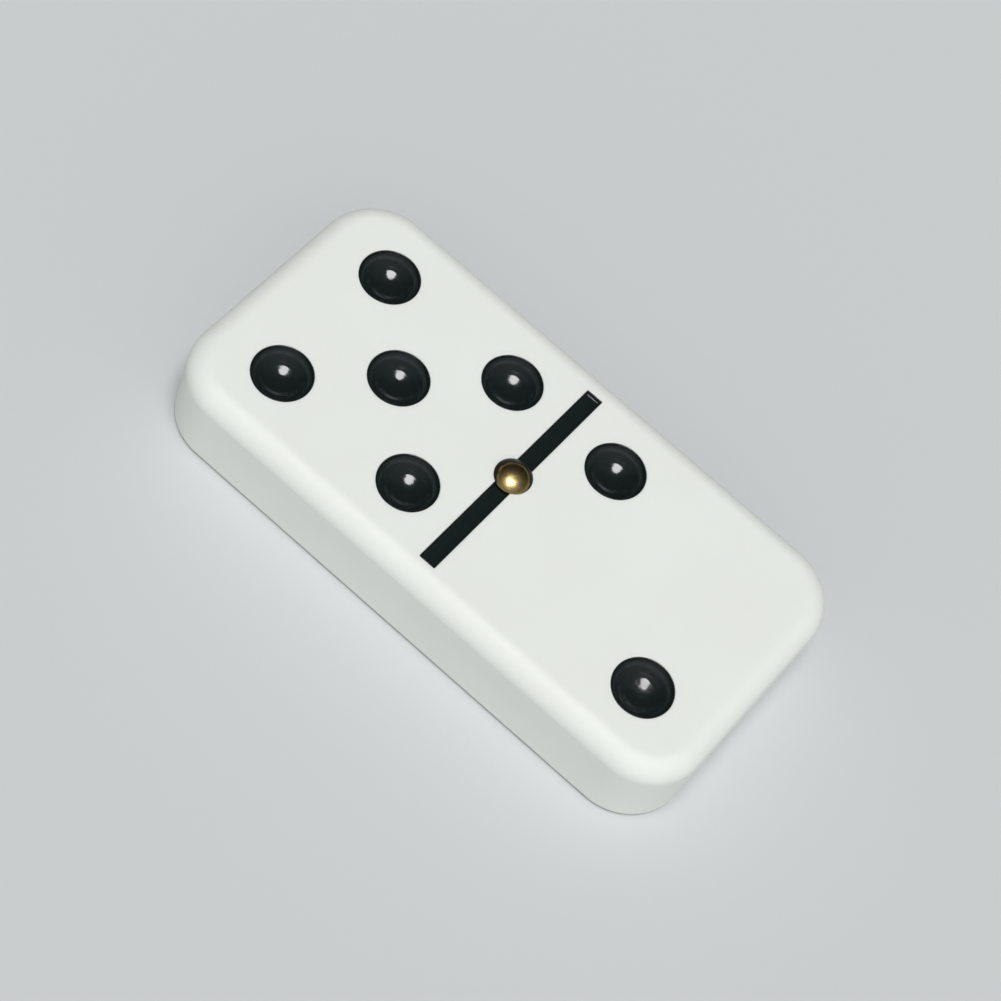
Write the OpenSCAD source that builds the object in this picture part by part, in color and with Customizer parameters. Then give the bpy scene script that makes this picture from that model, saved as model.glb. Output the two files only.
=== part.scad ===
// Domino tile, five and two, with a brass spinner pin.
// Lies face up on its flat underside. Origin: middle of the underside.
// +X runs to the end with two pips, +Z points out of the face. Millimetres.

/* [Tile] */
// Length, end to end
tile_length = 50; // [47:0.5:58]
// Width, side to side
tile_width = 25; // [23.5:0.5:29]
// Thickness, without the spinner's head
tile_thickness = 8; // [7.5:0.5:13]
// Radius of the upright corners
corner_radius = 5; // [3.5:0.25:6]
// Radius of the soft edge round the face
face_edge_radius = 1.8; // [1:0.1:2.4]
// Radius of the small edge round the underside
base_edge_radius = 0.5; // [0.2:0.1:1]

/* [Pips] */
// Diameter of a pip at the face
pip_diameter = 5; // [4:0.1:5.6]
// Depth of a pip's bowl, cut in the plastic
pip_depth = 1.6; // [1.1:0.05:1.8]
// Height of the upright wall at a pip's rim
pip_rim_height = 0.25; // [0.15:0.05:0.4]
// Side of the square on which the outer pips of a half stand
pip_square = 12.8; // [11:0.2:13.4]
// Distance from the divider's middle to the middle of that square
pip_square_offset = 11.7; // [11:0.1:12.5]

/* [Divider] */
// Width of the divider groove
groove_width = 1.5; // [1:0.1:1.5]
// Depth of the divider groove
groove_depth = 0.5; // [0.35:0.05:0.8]
// Distance from each end of the groove to the tile's long side
groove_margin = 2.05; // [2:0.05:5]

/* [Enamel] */
// Thickness of the enamel on the floors of the pips and the groove
enamel_thickness = 0.15; // [0.08:0.01:0.2]
// Thickness of the enamel on their upright walls
enamel_wall = 0.1; // [0.06:0.01:0.12]

/* [Spinner] */
// Diameter of the pin's round head
head_diameter = 3.1; // [2.4:0.1:3.6]
// Height of the head above the face
head_height = 0.65; // [0.5:0.05:1]
// Diameter of the pin's shank
shank_diameter = 1.6; // [1.6:0.1:1.9]
// Length of the shank, with its tapered point
shank_length = 5.4; // [3:0.2:5.6]
// Length of the tapered point
point_length = 0.9; // [0.5:0.1:1.4]

/* [Hidden] */
$fn = 64;
clear = 1;                    // how far a cutting shape runs past a face
point_flat = 0.5;             // diameter left at the tip of the shank
hole_spare = 0.4;             // empty depth of the hole below the shank
drill_point_angle = 31;       // slope of the hole's conical end

pip_radius = pip_diameter / 2;
groove_reach = tile_width / 2 - groove_margin;
head_radius = head_diameter / 2;
shank_radius = shank_diameter / 2;
hole_depth = shank_length + hole_spare;

// radius of a ball whose cap has the given height over the given base radius
function cap_ball(base, height) = (base * base + height * height) / (2 * height);

bowl_ball = cap_ball(pip_radius, pip_depth - pip_rim_height);
head_ball = cap_ball(head_radius, head_height);

// where the pips stand, as [x, y]; inner is next to the divider, left is +Y
half_square = pip_square / 2;
inner_x = pip_square_offset - half_square;
outer_x = pip_square_offset + half_square;
PIPS = [
    ["five_pip_inner_left", [-inner_x, half_square]],
    ["five_pip_inner_right", [-inner_x, -half_square]],
    ["five_pip_centre", [-pip_square_offset, 0]],
    ["five_pip_outer_left", [-outer_x, half_square]],
    ["five_pip_outer_right", [-outer_x, -half_square]],
    ["two_pip_inner", [inner_x, half_square]],
    ["two_pip_outer", [outer_x, -half_square]],
];
DIVIDER = [["divider_enamel_left", 1], ["divider_enamel_right", -1]];

// half of an upright section through an edge, from the section's middle out to the edge's skin
module edge_section(reach) {
    union() {
        translate([0, base_edge_radius])
            square([reach, tile_thickness - base_edge_radius - face_edge_radius]);
        square([reach - base_edge_radius, base_edge_radius]);
        translate([0, tile_thickness - face_edge_radius])
            square([reach - face_edge_radius, face_edge_radius]);
        translate([reach - base_edge_radius, base_edge_radius])
            circle(base_edge_radius);
        translate([reach - face_edge_radius, tile_thickness - face_edge_radius])
            circle(face_edge_radius);
    }
}

// the slab between the corners, along X
module long_middle() {
    for (side = [0, 180])
        rotate([0, 0, side])
            translate([-(tile_length / 2 - corner_radius), 0, 0])
                rotate([90, 0, 90])
                    linear_extrude(tile_length - 2 * corner_radius)
                        edge_section(tile_width / 2);
}

// the stretch at each end between the corners
module end_blocks() {
    for (side = [0, 180])
        rotate([0, 0, side])
            translate([tile_length / 2 - corner_radius, tile_width / 2 - corner_radius, 0])
                rotate([90, 0, 0])
                    linear_extrude(tile_width - 2 * corner_radius)
                        edge_section(corner_radius);
}

// the four rounded corners
module corners() {
    for (end = [0, 1])
        for (side = [0, 1])
            mirror([end, 0, 0])
                mirror([0, side, 0])
                    translate([tile_length / 2 - corner_radius, tile_width / 2 - corner_radius, 0])
                        rotate_extrude(angle = 90)
                            edge_section(corner_radius);
}

// the space of a pip's bowl: an upright rim above part of a ball
module pip_bowl(radius, ball, top) {
    rim_z = tile_thickness - pip_rim_height;
    ball_z = tile_thickness - pip_depth + bowl_ball;
    rotate_extrude()
        union() {
            translate([0, rim_z])
                square([radius, pip_rim_height + top]);
            intersection() {
                translate([0, ball_z])
                    circle(ball);
                translate([0, rim_z - pip_depth])
                    square([radius, pip_depth]);
            }
        }
}

// one half of the divider groove, from the middle of the tile towards +Y
module groove(width, depth, reach, top) {
    translate([-width / 2, 0, tile_thickness - depth])
        cube([width, reach, depth + top]);
}

// the drilled hole for the spinner's shank
module shank_hole() {
    cone_height = shank_radius * tan(drill_point_angle);
    rotate_extrude()
        polygon([
            [0, tile_thickness + clear],
            [shank_radius, tile_thickness + clear],
            [shank_radius, tile_thickness - hole_depth],
            [0, tile_thickness - hole_depth - cone_height],
        ]);
}

module tile_body() {
    color([0.89, 0.91, 0.89])
        difference() {
            union() {
                long_middle();
                end_blocks();
                corners();
            }
            for (pip = PIPS)
                translate(pip[1])
                    pip_bowl(pip_radius, bowl_ball, clear);
            for (side = [0, 180])
                rotate([0, 0, side])
                    groove(groove_width, groove_depth, groove_reach, clear);
            shank_hole();
        }
}

// the enamel in one pip
module pip_enamel(spot) {
    color([0.08, 0.09, 0.09])
        translate(spot)
            difference() {
                pip_bowl(pip_radius, bowl_ball, 0);
                pip_bowl(pip_radius - enamel_wall, bowl_ball - enamel_thickness, clear);
            }
}

// the enamel in one half of the divider groove, cut short by the hole for the pin
module divider_enamel(side) {
    color([0.08, 0.09, 0.09])
        rotate([0, 0, side > 0 ? 0 : 180])
            difference() {
                groove(groove_width, groove_depth, groove_reach, 0);
                translate([0, -clear, 0])
                    groove(
                        groove_width - 2 * enamel_wall,
                        groove_depth - enamel_thickness,
                        groove_reach - enamel_wall + clear,
                        clear
                    );
                shank_hole();
            }
}

module spinner_pin() {
    shank_end = tile_thickness - shank_length;
    color([0.78, 0.62, 0.30])
        rotate_extrude()
            union() {
                intersection() {
                    translate([0, tile_thickness + head_height - head_ball])
                        circle(head_ball);
                    translate([0, tile_thickness])
                        square([head_radius, head_height]);
                }
                translate([0, shank_end + point_length])
                    square([shank_radius, shank_length - point_length]);
                polygon([
                    [0, shank_end],
                    [point_flat / 2, shank_end],
                    [shank_radius, shank_end + point_length],
                    [0, shank_end + point_length],
                ]);
            }
}

tile_body();
spinner_pin();
for (pip = PIPS)
    pip_enamel(pip[1]);
for (strip = DIVIDER)
    divider_enamel(strip[1]);
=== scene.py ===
# A five-two domino tile lying face up, with enamelled pips and a brass spinner pin.
# Places come from the CAD model's boxes. Sizes in the dictionaries are millimetres.
import math

import bmesh
import bpy
from mathutils import Matrix, Vector


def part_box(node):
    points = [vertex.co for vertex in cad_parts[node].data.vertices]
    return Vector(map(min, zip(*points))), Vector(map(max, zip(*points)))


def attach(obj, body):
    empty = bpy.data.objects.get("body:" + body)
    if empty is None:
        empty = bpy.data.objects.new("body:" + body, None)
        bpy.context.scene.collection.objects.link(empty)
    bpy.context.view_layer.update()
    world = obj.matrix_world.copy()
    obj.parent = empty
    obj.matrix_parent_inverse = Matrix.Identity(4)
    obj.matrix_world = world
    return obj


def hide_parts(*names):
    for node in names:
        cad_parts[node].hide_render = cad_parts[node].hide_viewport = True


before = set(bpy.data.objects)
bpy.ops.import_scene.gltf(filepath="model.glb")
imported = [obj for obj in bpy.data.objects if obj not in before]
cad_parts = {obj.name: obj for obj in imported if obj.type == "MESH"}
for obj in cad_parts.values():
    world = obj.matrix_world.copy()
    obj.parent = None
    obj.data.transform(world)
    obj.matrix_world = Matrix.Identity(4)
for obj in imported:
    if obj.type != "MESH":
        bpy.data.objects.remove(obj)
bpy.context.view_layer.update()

mm = 0.001
fullTurn = 2 * math.pi
colourA, colourB, colourOut = 6, 7, 2        # a Mix node's sockets when it mixes colours

tileLow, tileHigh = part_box("tile_body")
pinLow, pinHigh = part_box("spinner_pin")
faceHeight = tileHigh.z
pipNodes = sorted(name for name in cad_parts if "_pip_" in name)
stripNodes = sorted(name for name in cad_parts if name.startswith("divider_enamel"))


def linearColour(code):
    # sRGB hex to the linear colour that shaders work in
    channels = [int(code[i:i + 2], 16) / 255 for i in (1, 3, 5)]
    return [c / 12.92 if c <= 0.04045 else ((c + 0.055) / 1.055) ** 2.4 for c in channels] + [1.0]


def patternScale(size):
    # scale of a noise whose features are this many millimetres across
    return 1 / (size * mm)


def addNode(tree, kind, inputs=None, **settings):
    # one node with its settings, its inputs set to values or linked to other sockets
    node = tree.nodes.new(kind)
    for name, value in settings.items():
        setattr(node, name, value)
    for socket, value in (inputs or {}).items():
        if isinstance(value, bpy.types.NodeSocket):
            tree.links.new(value, node.inputs[socket])
        else:
            node.inputs[socket].default_value = value
    return node


def sceneObject(name, data):
    made = bpy.data.objects.new(name, data)
    bpy.context.scene.collection.objects.link(made)
    return made


def meshPiece(name, work):
    # finished bmesh work as a smooth-shaded object
    bmesh.ops.recalc_face_normals(work, faces=work.faces)
    for face in work.faces:
        face.smooth = True
    data = bpy.data.meshes.new(name)
    work.to_mesh(data)
    work.free()
    return sceneObject(name, data)


def arc(centre, radius, start, end, steps):
    # points round part of a circle, angles in degrees
    angles = [math.radians(start + (end - start) * i / steps) for i in range(steps + 1)]
    return [(centre[0] + radius * math.cos(a), centre[1] + radius * math.sin(a)) for a in angles]


def lathe(name, profile, steps, centre=(0, 0)):
    # a closed solid turned from (radius, height) points in metres that start and end on the axis
    tiny = 1e-7
    turns = [fullTurn * i / steps for i in range(steps)]
    work = bmesh.new()
    rings = []
    for radius, height in profile:
        if radius < tiny:
            rings.append([work.verts.new((centre[0], centre[1], height))] * steps)
            continue
        spots = [(centre[0] + radius * math.cos(a), centre[1] + radius * math.sin(a), height) for a in turns]
        rings.append([work.verts.new(spot) for spot in spots])
    for low, high in zip(rings, rings[1:]):
        for i in range(steps):
            j = (i + 1) % steps
            corners = [low[i], low[j], high[j], high[i]]
            work.faces.new([v for n, v in enumerate(corners) if v not in corners[:n]])
    return meshPiece(name, work)


def roundedRing(halfLength, halfWidth, corner, steps):
    # a rectangle with round corners, anticlockwise
    points = []
    for quarter, (sx, sy) in enumerate([(1, 1), (-1, 1), (-1, -1), (1, -1)]):
        centre = (sx * (halfLength - corner), sy * (halfWidth - corner))
        points += arc(centre, corner, 90 * quarter, 90 * quarter + 90, steps)
    return points


def stackedSlab(name, halfLength, halfWidth, corner, outline, steps):
    # a solid of rounded rectangles stacked by (inset, height), closed at both ends
    work = bmesh.new()
    rings = []
    for inset, height in outline:
        ring = roundedRing(halfLength - inset, halfWidth - inset, corner - inset, steps)
        rings.append([work.verts.new((x, y, height)) for x, y in ring])
    for low, high in zip(rings, rings[1:]):
        for i in range(len(low)):
            j = (i + 1) % len(low)
            work.faces.new([low[i], low[j], high[j], high[i]])
    work.faces.new(list(reversed(rings[0])))
    work.faces.new(rings[-1])
    return meshPiece(name, work)


def plainCopy(source, name):
    # the evaluated shape of an object as a plain mesh, with no modifier left on it
    seen = source.evaluated_get(bpy.context.evaluated_depsgraph_get())
    data = bpy.data.meshes.new_from_object(seen)
    data.name = name
    bpy.data.objects.remove(source)
    return sceneObject(name, data)


def newTree(name, sockets):
    # a geometry tree with geometry in and out and the named inputs
    tree = bpy.data.node_groups.new(name, "GeometryNodeTree")
    tree.interface.new_socket("Geometry", in_out="INPUT", socket_type="NodeSocketGeometry")
    tree.interface.new_socket("Geometry", in_out="OUTPUT", socket_type="NodeSocketGeometry")
    for socketName, kind in sockets.items():
        tree.interface.new_socket(socketName, in_out="INPUT", socket_type="NodeSocket" + kind)
    return tree, addNode(tree, "NodeGroupInput").outputs


def endTree(tree, geometry, material):
    real = addNode(tree, "GeometryNodeRealizeInstances", {"Geometry": geometry})
    painted = addNode(tree, "GeometryNodeSetMaterial", {"Geometry": real.outputs[0], "Material": material})
    addNode(tree, "NodeGroupOutput", {"Geometry": painted.outputs[0]})


def grow(piece, tree, values):
    # puts a tree on a piece, with its inputs set by their identifiers
    modifier = piece.modifiers.new(tree.name, "NODES")
    modifier.node_group = tree
    for item in tree.interface.items_tree:
        if item.in_out == "INPUT" and item.name in values:
            modifier[item.identifier] = values[item.name]


def settle(piece, node):
    # the piece rides on the tile and stands for its CAD node
    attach(piece, "root")
    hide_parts(node)


cameraLook = {
    "turn": 14.9,            # degrees round the tile from straight in front of its long side
    "height": 59.0,          # degrees above the table
    "roll": 28.1,            # degrees
    "distance": 213.0,
    "lens": 99.0,
    "nearest": 10.0,
}


def makeCamera():
    data = bpy.data.cameras.new("camera")
    data.lens = cameraLook["lens"]
    data.clip_start = cameraLook["nearest"] * mm
    camera = sceneObject("camera", data)
    turn = math.radians(cameraLook["turn"])
    height = math.radians(cameraLook["height"])
    away = Vector((math.sin(turn) * math.cos(height), -math.cos(turn) * math.cos(height), math.sin(height)))
    target = (tileLow + tileHigh) / 2
    place = Matrix.Translation(target + away * cameraLook["distance"] * mm)
    facing = away.to_track_quat("Z", "Y").to_matrix().to_4x4()
    camera.matrix_world = place @ facing @ Matrix.Rotation(math.radians(cameraLook["roll"]), 4, "Z")
    bpy.context.scene.camera = camera


makeCamera()
print("camera set")


def startMaterial(name):
    material = bpy.data.materials.new(name)
    material.use_nodes = True
    material.node_tree.nodes.clear()
    return material, material.node_tree, addNode(material.node_tree, "ShaderNodeTexCoord").outputs["Object"]


def endMaterial(tree, shader):
    addNode(tree, "ShaderNodeOutputMaterial", {"Surface": shader.outputs[0]})


ureaLook = {
    "white": "#edf2ed",
    "cloud": "#e9ece6",
    "cloudSize": 9.0,
    "gloss": 0.53,
    "dull": 0.64,
    "rubSize": 0.45,         # the real rub marks are finer; drawn this coarse so that they show
    "rubDraw": (0.4, 1.0, 0.8),      # less than 1 draws them out that way
    "waveSize": 6.0,
    "waveHeight": 0.012,
    "peelSize": 0.5,
    "peelHeight": 0.0012,
    "sink": 0.8,             # how far light sinks in
}


def ureaMoulding():
    # Urea resin, compression moulded and tumbled: cool white and softly glossy, light sinks in
    # a little at the edges, and fine rub marks with a slow waviness break up the shine.
    material, tree, place = startMaterial("tumbled white urea moulding")
    cloud = addNode(
        tree, "ShaderNodeTexNoise",
        {"Vector": place, "Scale": patternScale(ureaLook["cloudSize"]), "Detail": 3.0},
    )
    colour = addNode(
        tree, "ShaderNodeMix",
        {
            "Factor": cloud.outputs["Fac"],
            colourA: linearColour(ureaLook["white"]),
            colourB: linearColour(ureaLook["cloud"]),
        },
        data_type="RGBA",
    )
    drawnOut = addNode(tree, "ShaderNodeMapping", {"Vector": place, "Scale": ureaLook["rubDraw"]})
    rubs = addNode(
        tree, "ShaderNodeTexNoise",
        {
            "Vector": drawnOut.outputs[0],
            "Scale": patternScale(ureaLook["rubSize"]),
            "Detail": 4.0,
            "Distortion": 0.8,
        },
    )
    shine = addNode(
        tree, "ShaderNodeMapRange",
        {
            "Value": rubs.outputs["Fac"],
            "From Min": 0.4,
            "From Max": 0.7,
            "To Min": ureaLook["gloss"],
            "To Max": ureaLook["dull"],
        },
    )
    slow = addNode(
        tree, "ShaderNodeTexNoise",
        {"Vector": place, "Scale": patternScale(ureaLook["waveSize"]), "Detail": 1.0},
    )
    wave = addNode(
        tree, "ShaderNodeBump", {"Height": slow.outputs["Fac"], "Distance": ureaLook["waveHeight"] * mm},
    )
    fine = addNode(tree, "ShaderNodeTexNoise", {"Vector": place, "Scale": patternScale(ureaLook["peelSize"])})
    peel = addNode(
        tree, "ShaderNodeBump",
        {
            "Height": fine.outputs["Fac"],
            "Distance": ureaLook["peelHeight"] * mm,
            "Normal": wave.outputs[0],
        },
    )
    shader = addNode(
        tree, "ShaderNodeBsdfPrincipled",
        {
            "Base Color": colour.outputs[colourOut],
            "Roughness": shine.outputs[0],
            "IOR": 1.54,
            "Normal": peel.outputs[0],
            "Subsurface Weight": 0.25,
            "Subsurface Radius": (1.0, 0.95, 0.8),
            "Subsurface Scale": ureaLook["sink"] * mm,
        },
    )
    endMaterial(tree, shader)
    return material


enamelLook = {
    "black": "#1a2121",
    "dust": "#343b3b",
    "dustSize": 0.12,
    "paintedSheen": "#363d3d",       # painted reflection: a lighter band just inside a pip's rim
    "sheenAt": 0.91,          # share of the way out to the rim
    "sheenWide": 0.07,
    "gloss": 0.09,
    "dull": 0.17,
    "patchSize": 0.7,
    "peelSize": 0.22,
    "peelHeight": 0.0012,
}


def stovedEnamel():
    # Black enamel, wiped into the cuts and stoved: near black, wet-looking gloss with a fine
    # orange peel, duller patches, a greyer band inside each pip's rim that is a painted reflection, and a
    # little dust.
    material, tree, place = startMaterial("stoved black enamel")
    specks = addNode(
        tree, "ShaderNodeTexNoise",
        {"Vector": place, "Scale": patternScale(enamelLook["dustSize"]), "Detail": 3.0},
    )
    dust = addNode(
        tree, "ShaderNodeMapRange",
        {"Value": specks.outputs["Fac"], "From Min": 0.6, "From Max": 0.85, "To Max": 0.5},
    )
    dusty = addNode(
        tree, "ShaderNodeMix",
        {
            "Factor": dust.outputs[0],
            colourA: linearColour(enamelLook["black"]),
            colourB: linearColour(enamelLook["dust"]),
        },
        data_type="RGBA",
    )
    patches = addNode(
        tree, "ShaderNodeTexNoise", {"Vector": place, "Scale": patternScale(enamelLook["patchSize"])},
    )
    shine = addNode(
        tree, "ShaderNodeMapRange",
        {
            "Value": patches.outputs["Fac"],
            "From Min": 0.35,
            "From Max": 0.7,
            "To Min": enamelLook["gloss"],
            "To Max": enamelLook["dull"],
        },
    )
    dulled = addNode(tree, "ShaderNodeAttribute", attribute_name="dulled").outputs["Fac"]
    roughness = addNode(tree, "ShaderNodeMath", {0: shine.outputs[0], 1: dulled}, operation="ADD")
    fine = addNode(
        tree, "ShaderNodeTexNoise", {"Vector": place, "Scale": patternScale(enamelLook["peelSize"])},
    )
    peel = addNode(
        tree, "ShaderNodeBump",
        {"Height": fine.outputs["Fac"], "Distance": enamelLook["peelHeight"] * mm},
    )
    # painted reflection: a greyer band just inside each pip's rim, broken up by noise
    outward = addNode(tree, "ShaderNodeAttribute", attribute_name="outward").outputs["Fac"]
    off = addNode(tree, "ShaderNodeMath", {0: outward, 1: enamelLook["sheenAt"]}, operation="SUBTRACT")
    near = addNode(tree, "ShaderNodeMath", {0: off.outputs[0]}, operation="ABSOLUTE")
    band = addNode(
        tree, "ShaderNodeMapRange",
        {"Value": near.outputs[0], "From Min": enamelLook["sheenWide"], "From Max": 0.0},
        interpolation_type="SMOOTHSTEP",
    )
    uneven = addNode(
        tree, "ShaderNodeTexNoise",
        {"Vector": place, "Scale": patternScale(enamelLook["patchSize"]), "Detail": 3.0},
    )
    wearAndSheen = addNode(
        tree, "ShaderNodeMath", {0: band.outputs[0], 1: uneven.outputs["Fac"]}, operation="MULTIPLY",
    )
    # mixes the painted reflection band into the enamel's colour
    colour = addNode(
        tree, "ShaderNodeMix",
        {
            "Factor": wearAndSheen.outputs[0],
            colourA: dusty.outputs[colourOut],
            colourB: linearColour(enamelLook["paintedSheen"]),
        },
        data_type="RGBA",
    )
    shader = addNode(
        tree, "ShaderNodeBsdfPrincipled",
        {
            "Base Color": colour.outputs[colourOut],
            "Roughness": roughness.outputs[0],
            "IOR": 1.6,
            "Normal": peel.outputs[0],
        },
    )
    endMaterial(tree, shader)
    return material


brassLook = {
    "brass": "#c6ae76",
    "tarnish": "#5b4a2d",
    "blackRimAndReflection": "#241f19",
    "stainSize": 0.5,
    "gloss": 0.27,
    "dull": 0.4,
    "ringPitch": 0.13,       # the turning marks are finer; drawn this coarse so that they show
    "ringHeight": 0.0007,
    "darkRimStart": 1.14,      # radius at which the dark rim begins: enamel left from the groove, and painted dark reflection
    "darkRimEnd": 1.38,
    "darkRimRagged": 0.2,      # how far the stain pattern moves that line inwards
    "darkReflectionSide": (-0.5, 0.87, 0.0),      # the side of the head facing away from the camera, where painted dark reflection brings the black furthest in
    "darkReflectionLean": 0.28,                   # how much nearer the middle it comes on that side
}


def polishedBrass():
    # Brass, turned and then barrel polished: warm soft mirror with faint turning rings, brown
    # tarnish in spots, and a black rim that is partly enamel left by the wipe and partly a painted dark
    # reflection, reaching further in on the side away from the camera.
    material, tree, place = startMaterial("polished brass")
    axis = (pinLow + pinHigh) / 2
    flat = addNode(
        tree, "ShaderNodeMapping", {"Vector": place, "Location": (-axis.x, -axis.y, 0), "Scale": (1, 1, 0)},
    )
    out = addNode(tree, "ShaderNodeVectorMath", {"Vector": flat.outputs[0]}, operation="LENGTH")
    radius = out.outputs["Value"]
    stain = addNode(
        tree, "ShaderNodeTexNoise",
        {"Vector": place, "Scale": patternScale(brassLook["stainSize"]), "Detail": 4.0},
    ).outputs["Fac"]
    browned = addNode(
        tree, "ShaderNodeMapRange", {"Value": stain, "From Min": 0.42, "From Max": 0.72, "To Max": 0.8},
    )
    metal = addNode(
        tree, "ShaderNodeMix",
        {
            "Factor": browned.outputs[0],
            colourA: linearColour(brassLook["brass"]),
            colourB: linearColour(brassLook["tarnish"]),
        },
        data_type="RGBA",
    )
    # painted dark reflection: the black comes further in on the side of the head that faces away from the
    # camera
    leaning = addNode(
        tree, "ShaderNodeVectorMath", {0: flat.outputs[0], 1: brassLook["darkReflectionSide"]},
        operation="DOT_PRODUCT",
    )
    sided = addNode(
        tree, "ShaderNodeMath", {0: leaning.outputs["Value"], 1: brassLook["darkReflectionLean"], 2: radius},
        operation="MULTIPLY_ADD",
    )
    ragged = addNode(
        tree, "ShaderNodeMath", {0: stain, 1: brassLook["darkRimRagged"] * mm, 2: sided.outputs[0]},
        operation="MULTIPLY_ADD",
    )
    darkRimMask = addNode(
        tree, "ShaderNodeMapRange",
        {
            "Value": ragged.outputs[0],
            "From Min": brassLook["darkRimStart"] * mm,
            "From Max": brassLook["darkRimEnd"] * mm,
        },
    ).outputs[0]
    # black rim, partly enamel left by the wipe and partly painted dark reflection
    colour = addNode(
        tree, "ShaderNodeMix",
        {
            "Factor": darkRimMask,
            colourA: metal.outputs[colourOut],
            colourB: linearColour(brassLook["blackRimAndReflection"]),
        },
        data_type="RGBA",
    )
    bare = addNode(tree, "ShaderNodeMath", {0: 1.0, 1: darkRimMask}, operation="SUBTRACT")
    shine = addNode(
        tree, "ShaderNodeMapRange",
        {
            "Value": stain,
            "From Min": 0.35,
            "From Max": 0.7,
            "To Min": brassLook["gloss"],
            "To Max": brassLook["dull"],
        },
    )
    turning = addNode(
        tree, "ShaderNodeMath", {0: radius, 1: fullTurn / (brassLook["ringPitch"] * mm)},
        operation="MULTIPLY",
    )
    wave = addNode(tree, "ShaderNodeMath", {0: turning.outputs[0]}, operation="SINE")
    marks = addNode(
        tree, "ShaderNodeBump", {"Height": wave.outputs[0], "Distance": brassLook["ringHeight"] * mm},
    )
    shader = addNode(
        tree, "ShaderNodeBsdfPrincipled",
        {
            "Base Color": colour.outputs[colourOut],
            "Metallic": bare.outputs[0],
            "Roughness": shine.outputs[0],
            "Normal": marks.outputs[0],
        },
    )
    endMaterial(tree, shader)
    return material


plastic = ureaMoulding()
enamel = stovedEnamel()
brass = polishedBrass()
print("materials made")


bodyShape = {
    "corner": 5.0,           # radius of the upright corners
    "cornerSteps": 28,
    "faceEdge": 1.8,         # radius of the soft edge round the face
    "faceEdgeSteps": 18,
    "baseEdge": 0.5,
    "baseEdgeSteps": 6,
    "flatBand": 0.3,         # flat strip inside each edge, which keeps the edge's shading to itself
    "rimRound": 0.07,        # how far tumbling has worn the rims of the cuts
    "rimSteps": 4,
    "rimWall": 0.25,         # upright wall at a pip's rim
    "pipSteps": 144,
    "bowlSteps": 24,
    "grooveCorner": 0.12,
    "grooveSteps": 5,
    "overFace": 1.0,         # how far a cutter stands out of the face
    "hole": 0.8,             # radius of the hole for the pin
    "creaseAngle": 38.0,     # degrees
}


def bowlArc(rim, depth, steps):
    # the ball part of a pip's bowl, from its rim in to the axis, as (radius, height)
    wall = bodyShape["rimWall"] * mm
    ball = (rim ** 2 + (depth - wall) ** 2) / (2 * (depth - wall))
    spread = math.degrees(math.asin(rim / ball))
    return arc((0, faceHeight - depth + ball), ball, spread - 90, -90, steps)


def pipSize(node):
    low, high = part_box(node)
    return (low + high) / 2, (high.x - low.x) / 2, high.z - low.z


def pipCutter():
    centre, rim, depth = pipSize(pipNodes[0])
    wear = bodyShape["rimRound"] * mm
    top = faceHeight + bodyShape["overFace"] * mm
    profile = [(0, top), (rim + wear, top)]
    profile += arc((rim + wear, faceHeight - wear), wear, 90, 180, bodyShape["rimSteps"])
    profile += bowlArc(rim, depth, bodyShape["bowlSteps"])
    return lathe("pipCutter", [(max(r, 0), z) for r, z in profile], bodyShape["pipSteps"])


def grooveCutter():
    low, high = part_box(stripNodes[0])
    farLow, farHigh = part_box(stripNodes[1])
    wear = bodyShape["rimRound"] * mm
    wearAndSheen = arc((wear, faceHeight - wear), wear, 180, 90, bodyShape["rimSteps"])
    outline = [(0, low.z)]
    outline += [(-x, z) for x, z in wearAndSheen]
    outline += [(-wear, faceHeight + bodyShape["overFace"] * mm)]
    return stackedSlab(
        "grooveCutter", high.x, max(high.y, farHigh.y), bodyShape["grooveCorner"] * mm, outline,
        bodyShape["grooveSteps"],
    )


def pipSpots():
    # a loose point at each pip's middle
    data = bpy.data.meshes.new("pipSpots")
    middles = [pipSize(node)[0] for node in pipNodes]
    data.from_pydata([(middle.x, middle.y, 0) for middle in middles], [], [])
    return sceneObject("pipSpots", data)


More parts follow.
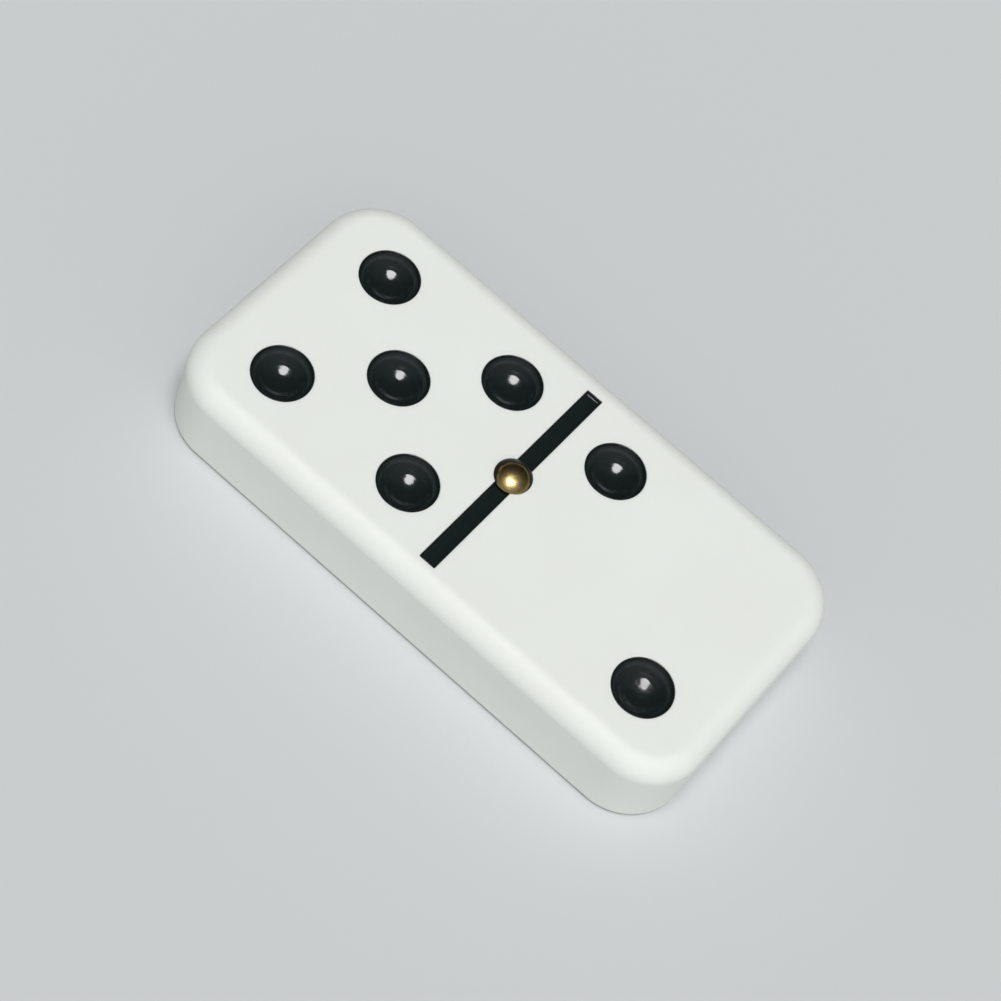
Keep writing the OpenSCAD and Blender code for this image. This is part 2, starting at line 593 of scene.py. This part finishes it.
def recessTree():
    # cuts a bowl at every spot, the divider groove and the pin's hole out of the slab
    tree, given = newTree("cut recesses", {
        "Spots": "Object",
        "Bowl": "Object",
        "Groove": "Object",
        "Hole Radius": "Float",
        "Hole Depth": "Float",
        "Face Height": "Float",
        "Crease Angle": "Float",
        "Plastic": "Material",
    })
    spots = addNode(tree, "GeometryNodeObjectInfo", {"Object": given["Spots"]})
    bowl = addNode(tree, "GeometryNodeObjectInfo", {"Object": given["Bowl"], "As Instance": True})
    groove = addNode(tree, "GeometryNodeObjectInfo", {"Object": given["Groove"]})
    bowls = addNode(
        tree, "GeometryNodeInstanceOnPoints",
        {"Points": spots.outputs["Geometry"], "Instance": bowl.outputs["Geometry"]},
    )
    realBowls = addNode(tree, "GeometryNodeRealizeInstances", {"Geometry": bowls.outputs[0]})
    drill = addNode(
        tree, "GeometryNodeMeshCylinder",
        {"Vertices": 48, "Radius": given["Hole Radius"], "Depth": given["Hole Depth"]},
    )
    upright = addNode(tree, "ShaderNodeCombineXYZ", {"Z": given["Face Height"]})
    placed = addNode(
        tree, "GeometryNodeTransform",
        {"Geometry": drill.outputs["Mesh"], "Translation": upright.outputs[0]},
    )
    cut = addNode(
        tree, "GeometryNodeMeshBoolean", {"Mesh 1": given["Geometry"]},
        operation="DIFFERENCE", solver="EXACT",
    )
    for tool in (realBowls.outputs[0], groove.outputs["Geometry"], placed.outputs[0]):
        tree.links.new(tool, cut.inputs["Mesh 2"])
    soft = addNode(tree, "GeometryNodeSetShadeSmooth", {"Geometry": cut.outputs["Mesh"]}, domain="FACE")
    angle = addNode(tree, "GeometryNodeInputMeshEdgeAngle")
    gentle = addNode(
        tree, "FunctionNodeCompare", {"A": angle.outputs[0], "B": given["Crease Angle"]},
        operation="LESS_THAN",
    )
    creased = addNode(
        tree, "GeometryNodeSetShadeSmooth",
        {"Geometry": soft.outputs[0], "Shade Smooth": gentle.outputs[0]},
        domain="EDGE",
    )
    endTree(tree, creased.outputs[0], given["Plastic"])
    return tree


def makeBody():
    base = bodyShape["baseEdge"] * mm
    soft = bodyShape["faceEdge"] * mm
    band = bodyShape["flatBand"] * mm
    lowArc = arc((0, base), base, -90, 0, bodyShape["baseEdgeSteps"])
    highArc = arc((0, faceHeight - soft), soft, 0, 90, bodyShape["faceEdgeSteps"])
    outline = [(base + band, 0)]
    outline += [(base - x, z) for x, z in lowArc]
    outline += [(soft - x, z) for x, z in highArc]
    outline += [(soft + band, faceHeight)]
    slab = stackedSlab(
        "slab", tileHigh.x, tileHigh.y, bodyShape["corner"] * mm, outline, bodyShape["cornerSteps"],
    )
    spots = pipSpots()
    bowl = pipCutter()
    groove = grooveCutter()
    grow(slab, recessTree(), {
        "Spots": spots,
        "Bowl": bowl,
        "Groove": groove,
        "Hole Radius": bodyShape["hole"] * mm,
        "Hole Depth": 2 * (faceHeight - pinLow.z),
        "Face Height": faceHeight,
        "Crease Angle": math.radians(bodyShape["creaseAngle"]),
        "Plastic": plastic,
    })
    level = slab.modifiers.new("keep the flats flat", "WEIGHTED_NORMAL")
    level.keep_sharp = True
    body = plainCopy(slab, "tileBody")
    for cutter in (spots, bowl, groove):
        bpy.data.objects.remove(cutter)
    settle(body, "tile_body")


makeBody()
print("tile body made")


enamelShape = {
    "floor": 0.15,           # thickness of the film
    "wall": 0.1,
    "sunk": 0.07,            # how far the film's edge lies below the face
    "beadSteps": 6,
    "creep": ((0.006, 0.08), (0.02, 0.03)),      # the film's foot at the wall: out from it, up
    "ballSteps": 66,
    "calmEdge": 0.05,        # the film is left even this near the wall
    "ringPitch": 0.36,       # marks of the round-nosed cutter under the film
    "ringHeight": 0.016,     # at the rim; they fade towards the middle
    "ringFade": 3.0,
    "rippleSize": 0.9,
    "ripple": 0.010,
    "runPip": "two_pip_outer",       # the one pip where the film has run and dried duller
    "runSize": 0.75,
    "runRipple": 0.07,
    "runDulled": 0.09,
    "pipSeed": 3,
}
stripShape = {
    "start": 0.86,           # distance from the tile's middle, clear of the pin's shank
    "fillet": 0.16,
    "filletSteps": 6,
    "beadSteps": 4,
    "step": 0.1,             # size of the mesh on the floor
    "ripple": 0.016,
    "seed": 20,
}


def filmTree():
    # cutter rings and the unevenness of a wiped film, on what faces up inside a cut
    tree, given = newTree("uneven film", {
        "Centre": "Vector",
        "Reach": "Float",
        "Ring Pitch": "Float",
        "Ring Height": "Float",
        "Ripple Size": "Float",
        "Ripple Height": "Float",
        "Dulled": "Float",
        "Seed": "Int",
        "Enamel": "Material",
    })
    position = addNode(tree, "GeometryNodeInputPosition").outputs[0]
    out = addNode(tree, "ShaderNodeVectorMath", {0: position, 1: given["Centre"]}, operation="SUBTRACT")
    flat = addNode(tree, "ShaderNodeVectorMath", {0: out.outputs[0], 1: (1, 1, 0)}, operation="MULTIPLY")
    length = addNode(tree, "ShaderNodeVectorMath", {0: flat.outputs[0]}, operation="LENGTH")
    radius = length.outputs["Value"]
    turns = addNode(tree, "ShaderNodeMath", {0: radius, 1: given["Ring Pitch"]}, operation="DIVIDE")
    angle = addNode(tree, "ShaderNodeMath", {0: turns.outputs[0], 1: fullTurn}, operation="MULTIPLY")
    wave = addNode(tree, "ShaderNodeMath", {0: angle.outputs[0]}, operation="SINE")
    share = addNode(tree, "ShaderNodeMath", {0: radius, 1: given["Reach"]}, operation="DIVIDE")
    fade = addNode(
        tree, "ShaderNodeMath", {0: share.outputs[0], 1: enamelShape["ringFade"]}, operation="POWER",
    )
    tall = addNode(
        tree, "ShaderNodeMath", {0: fade.outputs[0], 1: given["Ring Height"]}, operation="MULTIPLY",
    )
    rings = addNode(tree, "ShaderNodeMath", {0: wave.outputs[0], 1: tall.outputs[0]}, operation="MULTIPLY")
    scale = addNode(tree, "ShaderNodeMath", {0: 1.0, 1: given["Ripple Size"]}, operation="DIVIDE")
    noise = addNode(
        tree, "ShaderNodeTexNoise",
        {"Vector": position, "W": given["Seed"], "Scale": scale.outputs[0], "Detail": 1.0},
        noise_dimensions="4D",
    )
    swing = addNode(tree, "ShaderNodeMath", {0: noise.outputs["Fac"], 1: 0.5}, operation="SUBTRACT")
    ripple = addNode(
        tree, "ShaderNodeMath", {0: swing.outputs[0], 1: given["Ripple Height"], 2: rings.outputs[0]},
        operation="MULTIPLY_ADD",
    )
    lift = addNode(tree, "ShaderNodeCombineXYZ", {"Z": ripple.outputs[0]})
    facing = addNode(tree, "ShaderNodeSeparateXYZ", {0: addNode(tree, "GeometryNodeInputNormal").outputs[0]})
    upward = addNode(
        tree, "FunctionNodeCompare", {"A": facing.outputs["Z"], "B": 0.3}, operation="GREATER_THAN",
    )
    within = addNode(tree, "FunctionNodeCompare", {"A": radius, "B": given["Reach"]}, operation="LESS_THAN")
    height = addNode(tree, "ShaderNodeSeparateXYZ", {0: position})
    ceiling = addNode(tree, "ShaderNodeSeparateXYZ", {0: given["Centre"]})
    below = addNode(
        tree, "FunctionNodeCompare", {"A": height.outputs["Z"], "B": ceiling.outputs["Z"]},
        operation="LESS_THAN",
    )
    both = addNode(tree, "FunctionNodeBooleanMath", {0: upward.outputs[0], 1: within.outputs[0]})
    chosen = addNode(tree, "FunctionNodeBooleanMath", {0: both.outputs[0], 1: below.outputs[0]})
    moved = addNode(
        tree, "GeometryNodeSetPosition",
        {"Geometry": given["Geometry"], "Selection": chosen.outputs[0], "Offset": lift.outputs[0]},
    )
    ringed = addNode(
        tree, "FunctionNodeCompare", {"A": given["Ring Height"], "B": 0.0}, operation="GREATER_THAN",
    )
    outward = addNode(
        tree, "ShaderNodeMath", {0: share.outputs[0], 1: ringed.outputs[0]}, operation="MULTIPLY",
    )
    marked = addNode(
        tree, "GeometryNodeStoreNamedAttribute",
        {"Geometry": moved.outputs[0], "Name": "outward", "Value": outward.outputs[0]},
        data_type="FLOAT", domain="POINT",
    )
    dulled = addNode(
        tree, "GeometryNodeStoreNamedAttribute",
        {"Geometry": marked.outputs[0], "Name": "dulled", "Value": given["Dulled"]},
        data_type="FLOAT", domain="POINT",
    )
    endTree(tree, dulled.outputs[0], given["Enamel"])
    return tree


unevenFilm = filmTree()


def makePip(node, seed):
    centre, rim, depth = pipSize(node)
    film = enamelShape["floor"] * mm
    wall = enamelShape["wall"] * mm
    lip = faceHeight - enamelShape["sunk"] * mm
    inner = rim - wall
    outside = list(reversed(bowlArc(rim, depth, bodyShape["bowlSteps"])))
    bead = arc((rim - wall / 2, lip - wall / 2), wall / 2, 0, 180, enamelShape["beadSteps"])
    inside = bowlArc(inner, depth - film, enamelShape["ballSteps"])
    bend = inside[0][1]
    foot = [(inner - out * mm, bend + up * mm) for out, up in enamelShape["creep"]]
    profile = outside + bead + foot + inside[2:]
    profile = [(max(r, 0), z) for r, z in profile]
    blank = lathe(node + "_blank", profile, bodyShape["pipSteps"], centre)
    run = node == enamelShape["runPip"]
    grow(blank, unevenFilm, {
        "Centre": (centre.x, centre.y, lip - wall),
        "Reach": inner - enamelShape["calmEdge"] * mm,
        "Ring Pitch": enamelShape["ringPitch"] * mm,
        "Ring Height": enamelShape["ringHeight"] * mm,
        "Ripple Size": enamelShape["runSize" if run else "rippleSize"] * mm,
        "Ripple Height": enamelShape["runRipple" if run else "ripple"] * mm,
        "Dulled": enamelShape["runDulled"] if run else 0.0,
        "Seed": seed,
        "Enamel": enamel,
    })
    settle(plainCopy(blank, node + "_film"), node)


def valley(reach, lipWidth, top, floor):
    # half a section across the lined groove, from its middle out to the lip, as (distance, height)
    fillet = stripShape["fillet"] * mm
    bead = lipWidth / 2
    curve = arc((reach - lipWidth - fillet, floor + fillet), fillet, -90, 0, stripShape["filletSteps"])
    lip = arc((reach - bead, top - bead), bead, 180, 90, stripShape["beadSteps"])
    return curve + lip + [(reach, top - bead)]


def bothWays(section, floor):
    # the whole section from its half, with even steps over the floor
    first = section[0][0]
    count = max(1, round(2 * first / (stripShape["step"] * mm)))
    flat = [(-first + 2 * first * i / count, floor) for i in range(1, count)]
    return [(-d, h) for d, h in reversed(section)] + flat + section


def makeStrip(node, seed):
    low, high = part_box(node)
    side = 1 if high.y > -low.y else -1
    start = stripShape["start"] * mm
    end = max(high.y, -low.y)
    middle = (start + end) / 2
    top = faceHeight - enamelShape["sunk"] * mm
    floor = low.z + enamelShape["floor"] * mm
    wall = enamelShape["wall"] * mm
    columns = bothWays(valley(high.x, wall, top, floor), floor)
    stations = bothWays(valley(end - middle, wall, top, floor), floor)
    work = bmesh.new()
    grid = []
    for y, endHeight in stations:
        row = [work.verts.new((x, side * (middle + y), max(h, endHeight))) for x, h in columns]
        grid.append(row)
    for near, far in zip(grid, grid[1:]):
        for i in range(len(columns) - 1):
            work.faces.new([near[i], near[i + 1], far[i + 1], far[i]])
    border = grid[0] + [row[-1] for row in grid[1:-1]] + grid[-1][::-1] + [row[0] for row in grid[-2:0:-1]]
    foot = [work.verts.new((v.co.x, v.co.y, low.z)) for v in border]
    for i in range(len(border)):
        j = (i + 1) % len(border)
        work.faces.new([border[i], border[j], foot[j], foot[i]])
    work.faces.new(foot)
    bmesh.ops.remove_doubles(work, verts=work.verts, dist=1e-8)
    blank = meshPiece(node + "_blank", work)
    grow(blank, unevenFilm, {
        "Centre": (0, side * middle, floor + stripShape["fillet"] * mm / 2),
        "Reach": end,
        "Ring Pitch": 1.0,
        "Ring Height": 0.0,
        "Ripple Size": enamelShape["rippleSize"] * mm,
        "Ripple Height": stripShape["ripple"] * mm,
        "Dulled": 0.0,
        "Seed": seed,
        "Enamel": enamel,
    })
    settle(plainCopy(blank, node + "_film"), node)


for seed, node in enumerate(pipNodes, enamelShape["pipSeed"]):
    makePip(node, seed)
for seed, node in enumerate(stripNodes, stripShape["seed"]):
    makeStrip(node, seed)
print("enamel made")


pinShape = {
    "shank": 0.8,            # radius
    "point": 0.9,            # length of the tapered end
    "tip": 0.25,             # radius at the end of the point
    "rimEdge": 0.07,
    "domeSteps": 28,
    "steps": 96,
}


def makePin():
    rim = pinHigh.x
    edge = pinShape["rimEdge"] * mm
    shank = pinShape["shank"] * mm
    dome = pinHigh.z - faceHeight - edge
    ball = (rim ** 2 + dome ** 2) / (2 * dome)
    spread = math.degrees(math.asin(rim / ball))
    profile = [(0, pinLow.z), (pinShape["tip"] * mm, pinLow.z), (shank, pinLow.z + pinShape["point"] * mm)]
    profile += [(shank, faceHeight), (rim - edge / 2, faceHeight), (rim, faceHeight + edge / 2)]
    profile += arc((0, pinHigh.z - ball), ball, 90 - spread, 90, pinShape["domeSteps"])
    pin = lathe("spinnerPin", [(max(r, 0), z) for r, z in profile], pinShape["steps"])
    pin.data.materials.append(brass)
    work = bmesh.new()
    work.from_mesh(pin.data)
    for edgeLine in work.edges:
        edgeLine.smooth = edgeLine.calc_face_angle(0) < math.radians(bodyShape["creaseAngle"])
    work.to_mesh(pin.data)
    work.free()
    settle(pin, "spinner_pin")


makePin()
print("spinner pin made")


studio = {
    "floor": "#ced1d2",
    "floorRadius": 1400.0,
    "floorSteps": 96,
    "grainSize": 0.6,
    "grainHeight": 0.004,
    "backdrop": "#dfe2e3",
    "brightSide": 0.84,
    "darkSide": 0.03,
    "brightFrom": (0.66, -0.75, 0.0),
    "mirrored": 0.3,         # how much of the room's light shows in the glossy parts
    "keyStrength": 2.06,
    "keyDirection": (0.055, -0.135, 0.99),
    "keySpread": 27.0,       # degrees across, as seen from the tile
}


def makeFloor():
    steps = studio["floorSteps"]
    rim = arc((0, 0), studio["floorRadius"] * mm, 0, 360, steps)[:steps]
    work = bmesh.new()
    work.faces.new([work.verts.new((x, y, 0)) for x, y in rim])
    floor = meshPiece("floor", work)
    material, tree, place = startMaterial("matt paper")
    fibres = addNode(
        tree, "ShaderNodeTexNoise", {"Vector": place, "Scale": patternScale(studio["grainSize"])},
    )
    grain = addNode(
        tree, "ShaderNodeBump", {"Height": fibres.outputs["Fac"], "Distance": studio["grainHeight"] * mm},
    )
    shader = addNode(
        tree, "ShaderNodeBsdfPrincipled",
        {"Base Color": linearColour(studio["floor"]), "Roughness": 0.85, "Normal": grain.outputs[0]},
    )
    endMaterial(tree, shader)
    floor.data.materials.append(material)


def makeLight():
    # a wide round light nearly overhead
    data = bpy.data.lights.new("softLight", "SUN")
    data.angle = math.radians(studio["keySpread"])
    data.energy = studio["keyStrength"]
    softLight = sceneObject("softLight", data)
    away = Vector(studio["keyDirection"]).normalized()
    softLight.matrix_world = away.to_track_quat("Z", "Y").to_matrix().to_4x4()


def makeWorld():
    # a pale backdrop for the eye, and a studio that is light on one side and dark on the other
    world = bpy.data.worlds.new("studio")
    bpy.context.scene.world = world
    world.use_nodes = True
    tree = world.node_tree
    tree.nodes.clear()
    direction = addNode(tree, "ShaderNodeTexCoord").outputs["Generated"]
    bright = tuple(Vector(studio["brightFrom"]).normalized())
    side = addNode(tree, "ShaderNodeVectorMath", {0: direction, 1: bright}, operation="DOT_PRODUCT")
    strength = addNode(
        tree, "ShaderNodeMapRange",
        {
            "Value": side.outputs["Value"],
            "From Min": -0.4,
            "From Max": 1.0,
            "To Min": studio["darkSide"],
            "To Max": studio["brightSide"],
        },
    )
    ray = addNode(tree, "ShaderNodeLightPath")
    share = addNode(
        tree, "ShaderNodeMapRange",
        {"Value": ray.outputs["Is Glossy Ray"], "To Min": 1.0, "To Max": studio["mirrored"]},
    )
    dimmed = addNode(
        tree, "ShaderNodeMath", {0: strength.outputs[0], 1: share.outputs[0]}, operation="MULTIPLY",
    )
    around = addNode(
        tree, "ShaderNodeBackground", {"Color": (1, 1, 1, 1), "Strength": dimmed.outputs[0]},
    )
    seen = addNode(
        tree, "ShaderNodeBackground", {"Color": linearColour(studio["backdrop"]), "Strength": 1.0},
    )
    mixed = addNode(
        tree, "ShaderNodeMixShader",
        {0: ray.outputs["Is Camera Ray"], 1: around.outputs[0], 2: seen.outputs[0]},
    )
    addNode(tree, "ShaderNodeOutputWorld", {"Surface": mixed.outputs[0]})
    bpy.context.scene.view_settings.view_transform = "Standard"


makeFloor()
makeLight()
makeWorld()
print("floor and light made")
